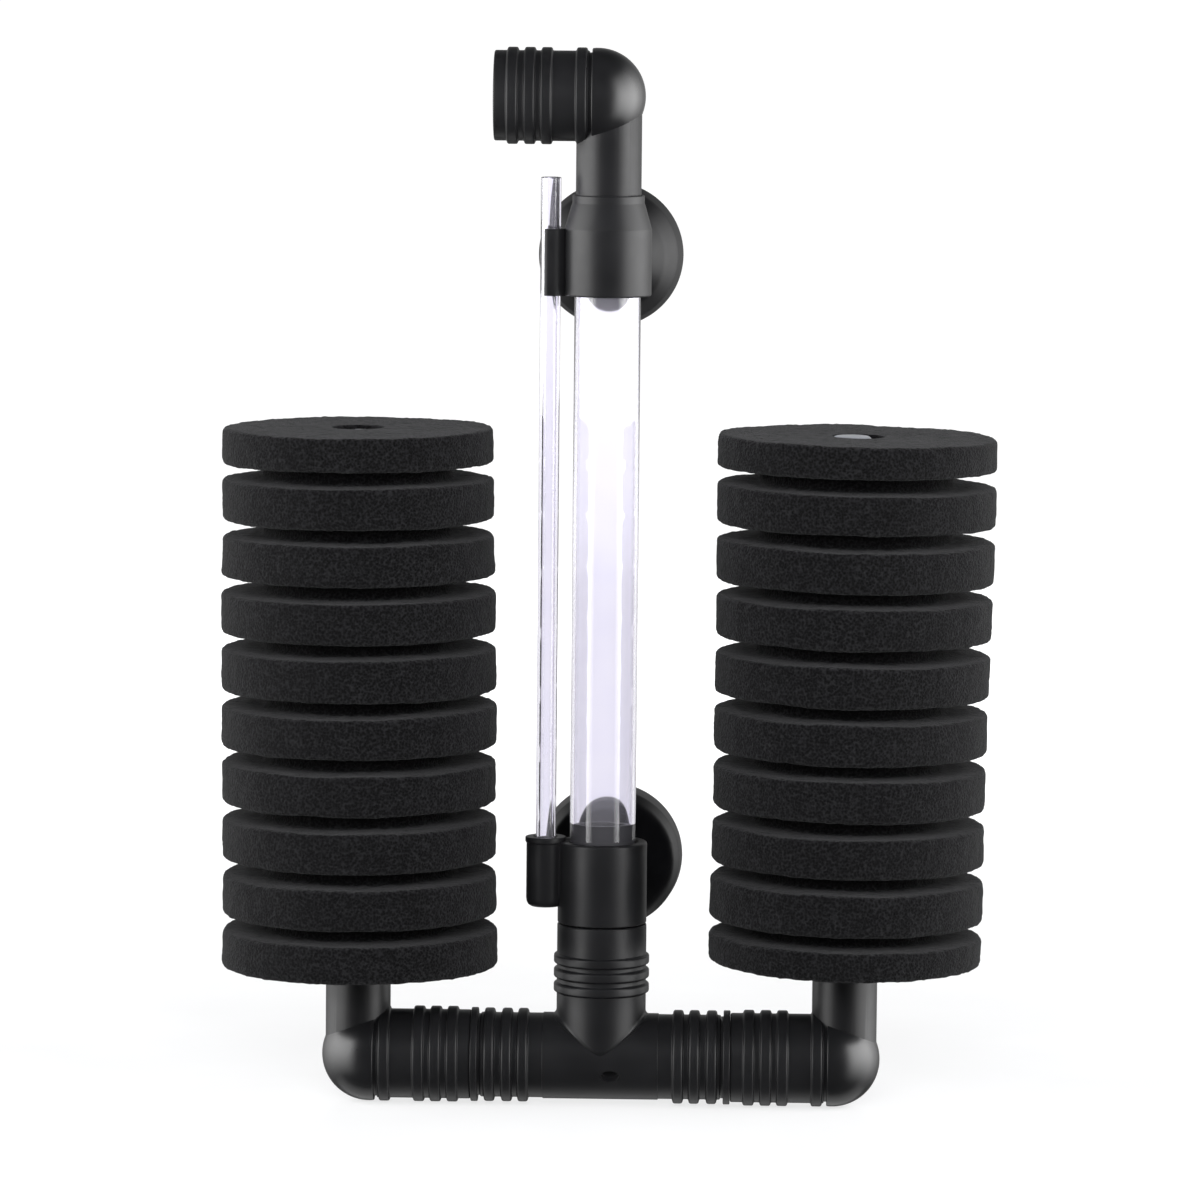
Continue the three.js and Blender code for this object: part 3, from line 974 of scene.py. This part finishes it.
def build_sponge(side, sign, seed, lean, drop, rise, shift, swell):
    """One foam cylinder, its skin roughened by noise, which leans and is wider at one end."""
    rng = np.random.default_rng(seed)
    spacing = 0.95
    outline = resample(sponge_outline(rng, drop, rise), spacing)
    segments = round(2 * math.pi * SPONGE_RADIUS / spacing)
    middle = np.array([sign * ARM_SPAN, 0, 0])
    sponge = lathe(f"{side}_sponge_foam", outline, at=middle, closed=True, segments=segments)
    mesh = sponge.data
    count = len(mesh.vertices)
    places = np.empty(count * 3)
    mesh.vertices.foreach_get("co", places)
    places = places.reshape(-1, 3) / MM
    normals = np.empty(count * 3)
    mesh.vertex_normals.foreach_get("vector", normals)
    normals = normals.reshape(-1, 3)
    relief = 0.25 * lattice_noise(places, 14, seed + 1)
    relief += 0.10 * lattice_noise(places, 2.6, seed + 2)
    relief += 0.13 * lattice_noise(places, 1.1, seed + 3)
    out = np.linalg.norm((places - middle)[:, :2], axis=1)
    hub = 8
    relief[out < hub] *= 0.2
    places = places + normals * (relief - 0.15)[:, None]
    height = (places[:, 2] - sponge_low.z) / (sponge_high.z - sponge_low.z) - 0.5
    wider = 1 + swell * height / SPONGE_RADIUS * np.clip((out - hub) / hub, 0, 1)
    places[:, :2] = middle[:2] + (places[:, :2] - middle[:2]) * wider[:, None]
    mesh.vertices.foreach_set("co", (places * MM).ravel())
    mesh.update()
    pivot = Matrix.Translation((sign * ARM_SPAN * MM, 0, sponge_low.z * MM))
    tilt = Matrix.Translation((shift * MM, 0, 0)) @ Matrix.Rotation(math.radians(lean), 4, "Y")
    transform(sponge, pivot @ tilt @ pivot.inverted())
    finish_piece(smooth(sponge, 60), f"{side}_sponge", f"{side}_foam", FOAM)


# ---------------------------------------------------------------- stage, lights and camera


LAMP_TINT = (0.96, 0.97, 1.0)   # slightly cool


def build_floor():
    """A floor that glows white, less so round the object, so that its soft shadow shows."""
    material, nodes, links, shader = new_material("glowing_floor")
    where = coordinates(nodes)
    mottle = noise(nodes, links, where, 60, 3)
    colour = ramp(nodes, links, mottle, [(0.3, (0.12, 0.12, 0.12)), (0.7, (0.14, 0.14, 0.14))])
    links.new(colour, shader.inputs["Base Color"])
    shader.inputs["Roughness"].default_value = 0.9
    shader.inputs["Specular IOR Level"].default_value = 0.1
    # painted light: the floor's own glow makes it white and lights the object from below; painted shade:
    # the glow is weaker round the object and rises to full white farther off
    away = nodes.new("ShaderNodeVectorMath")
    away.operation = "LENGTH"
    links.new(where, away.inputs[0])
    floor_glow = nodes.new("ShaderNodeMapRange")
    floor_glow.interpolation_type = "SMOOTHSTEP"
    floor_glow.inputs["From Min"].default_value = 0.12
    floor_glow.inputs["From Max"].default_value = 0.75
    floor_glow.inputs["To Min"].default_value = 0.72
    floor_glow.inputs["To Max"].default_value = 1.04
    links.new(away.outputs["Value"], floor_glow.inputs["Value"])
    links.new(floor_glow.outputs["Result"], shader.inputs["Emission Strength"])
    shader.inputs["Emission Color"].default_value = (1, 1, 1, 1)
    reach, below = 40.0, 0.0002
    rim = [(-reach, -reach, 0), (reach, -reach, 0), (reach, reach, 0), (-reach, reach, 0)]
    mesh = bpy.data.meshes.new("floor")
    mesh.from_pydata(rim, [], [(0, 1, 2, 3)])
    floor = new_object("floor", mesh)
    floor.location.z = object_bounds()[0][2] - below
    mesh.materials.append(material)
    floor.visible_glossy = False


def build_world():
    """A white surround that is seen directly and through clear parts, and lights nothing."""
    world = bpy.data.worlds.new("studio")
    bpy.context.scene.world = world
    world.use_nodes = True
    background = world.node_tree.nodes["Background"]
    background.inputs["Color"].default_value = (1, 1, 1, 1)
    background.inputs["Strength"].default_value = 1.04
    world.cycles_visibility.diffuse = False
    world.cycles_visibility.glossy = False
    world.cycles_visibility.scatter = False


def softbox(name, azimuth, distance, height, width, tall, radiance):
    """A large flat lamp at an azimuth in degrees from the front, turned to the object."""
    lamp = bpy.data.lights.new(name, "AREA")
    lamp.shape = "RECTANGLE"
    lamp.size = width
    lamp.size_y = tall
    lamp.energy = radiance * math.pi * width * tall
    lamp.color = LAMP_TINT
    box = bpy.data.objects.new(name, lamp)
    bpy.context.scene.collection.objects.link(box)
    turn = math.radians(azimuth)
    box.location = (distance * math.sin(turn), -distance * math.cos(turn), height)
    aim = Vector((0, 0, height)) - box.location
    box.rotation_euler = aim.to_track_quat("-Z", "Y").to_euler()
    box.visible_camera = False
    box.visible_glossy = False
    box.visible_transmission = False


def build_lights():
    """A softbox on each side of the camera, one above it, and a weaker one behind the object."""
    softbox("left_softbox", -62, 1.0, 0.7, 1.2, 0.7, 8)
    softbox("right_softbox", 62, 1.0, 0.7, 1.2, 0.7, 8)
    softbox("front_softbox", 0, 1.3, 0.62, 0.8, 0.6, 31)
    softbox("rear_softbox", 180, 1.3, 0.62, 0.8, 0.6, 22)


def reflection_card(name, mesh):
    """A glowing card that is seen only in glossy reflections, and its material's parts."""
    material, nodes, links, shader = new_material(name)
    material.cycles.emission_sampling = "NONE"
    shader.inputs["Base Color"].default_value = (0, 0, 0, 1)
    shader.inputs["Roughness"].default_value = 1.0
    shader.inputs["Specular IOR Level"].default_value = 0.0
    shader.inputs["Emission Color"].default_value = (1, 1, 1, 1)
    mesh.materials.append(material)
    card = new_object(name, mesh)
    card.visible_camera = False
    card.visible_diffuse = False
    card.visible_shadow = False
    card.visible_transmission = False
    return nodes, links, shader


def build_reflections():
    """A round wall that glows at both sides, hardly behind and not in front, and a ground behind."""
    distance, low, high = 0.65, -0.5, 0.9
    turns = [2 * math.pi * i / ROUND for i in range(ROUND)]
    rim = [(distance * math.cos(turn), distance * math.sin(turn)) for turn in turns]
    wall = bpy.data.meshes.new("reflection_wall")
    points = [(x, y, low) for x, y in rim] + [(x, y, high) for x, y in rim]
    faces = [(i, (i + 1) % ROUND, (i + 1) % ROUND + ROUND, i + ROUND) for i in range(ROUND)]
    wall.from_pydata(points, [], faces)
    nodes, links, shader = reflection_card("reflection_wall", wall)
    parts = nodes.new("ShaderNodeSeparateXYZ")
    links.new(coordinates(nodes), parts.inputs[0])
    front = arithmetic(nodes, links, "MULTIPLY", parts.outputs["Y"], -1)
    turn = arithmetic(nodes, links, "ARCTAN2", parts.outputs["X"], front)
    peak, middle, half_height = 12.0, 0.23, 0.36
    glow = [
        (-180, 0.04), (-143, 0.05), (-119, 0.26), (-97, 0.65), (-80, 0.85), (-54, 0.9), (-36, 0),
        (38, 0), (56, 0.9), (80, 1.0), (99, 0.9), (119, 0.3), (143, 0.05), (180, 0.04),
    ]
    stops = [((angle + 180) / 360, (value,) * 3) for angle, value in glow]
    share = arithmetic(nodes, links, "MULTIPLY_ADD", turn, 1 / (2 * math.pi), 0.5)
    around = ramp(nodes, links, share, stops)
    above = arithmetic(nodes, links, "SUBTRACT", parts.outputs["Z"], middle)
    rise = arithmetic(nodes, links, "DIVIDE", above, half_height)
    square = arithmetic(nodes, links, "MULTIPLY", rise, rise)
    fall = arithmetic(nodes, links, "POWER", 0.5, square)
    glowing = arithmetic(nodes, links, "MULTIPLY", around, fall)
    links.new(arithmetic(nodes, links, "MULTIPLY", glowing, peak), shader.inputs["Emission Strength"])

    ground = bpy.data.meshes.new("reflection_ground")
    ground.from_pydata([(-1, 0, low), (1, 0, low), (1, 1, low), (-1, 1, low)], [], [(0, 1, 2, 3)])
    shader = reflection_card("reflection_ground", ground)[2]
    shader.inputs["Emission Strength"].default_value = 1.0


def build_camera():
    """The camera of a long lens, a little above the object and to its right."""
    azimuth, elevation, roll = (math.radians(v) for v in (1.4, 6.3, 0.53))
    distance = 1.621
    aim = Vector((-0.0012, 0, 0.125))
    lens = bpy.data.cameras.new("camera")
    lens.sensor_width = 36
    lens.lens = 198.4
    lens.clip_end = 200
    away = Vector((
        math.sin(azimuth) * math.cos(elevation),
        -math.cos(azimuth) * math.cos(elevation),
        math.sin(elevation),
    ))
    camera = bpy.data.objects.new("camera", lens)
    bpy.context.scene.collection.objects.link(camera)
    facing = (-away).to_track_quat("-Z", "Y").to_matrix().to_4x4()
    place = Matrix.Translation(aim + away * distance)
    camera.matrix_world = place @ facing @ Matrix.Rotation(roll, 4, "Z")
    bpy.context.scene.camera = camera


build_camera()
build_elbows()
build_tee()
build_nipples()
build_lower_collar()
build_upper_collar()
build_tubes()
build_injector()
build_cups()
build_strainers()
build_sponge("left", -1, 11, lean=-0.5, drop=0.9, rise=0.35, shift=0.35, swell=-0.8)
build_sponge("right", 1, 23, lean=0.75, drop=-1.3, rise=-0.5, shift=-0.15, swell=0.6)
build_floor()
build_world()
build_lights()
build_reflections()
bpy.context.scene.view_settings.view_transform = "Standard"
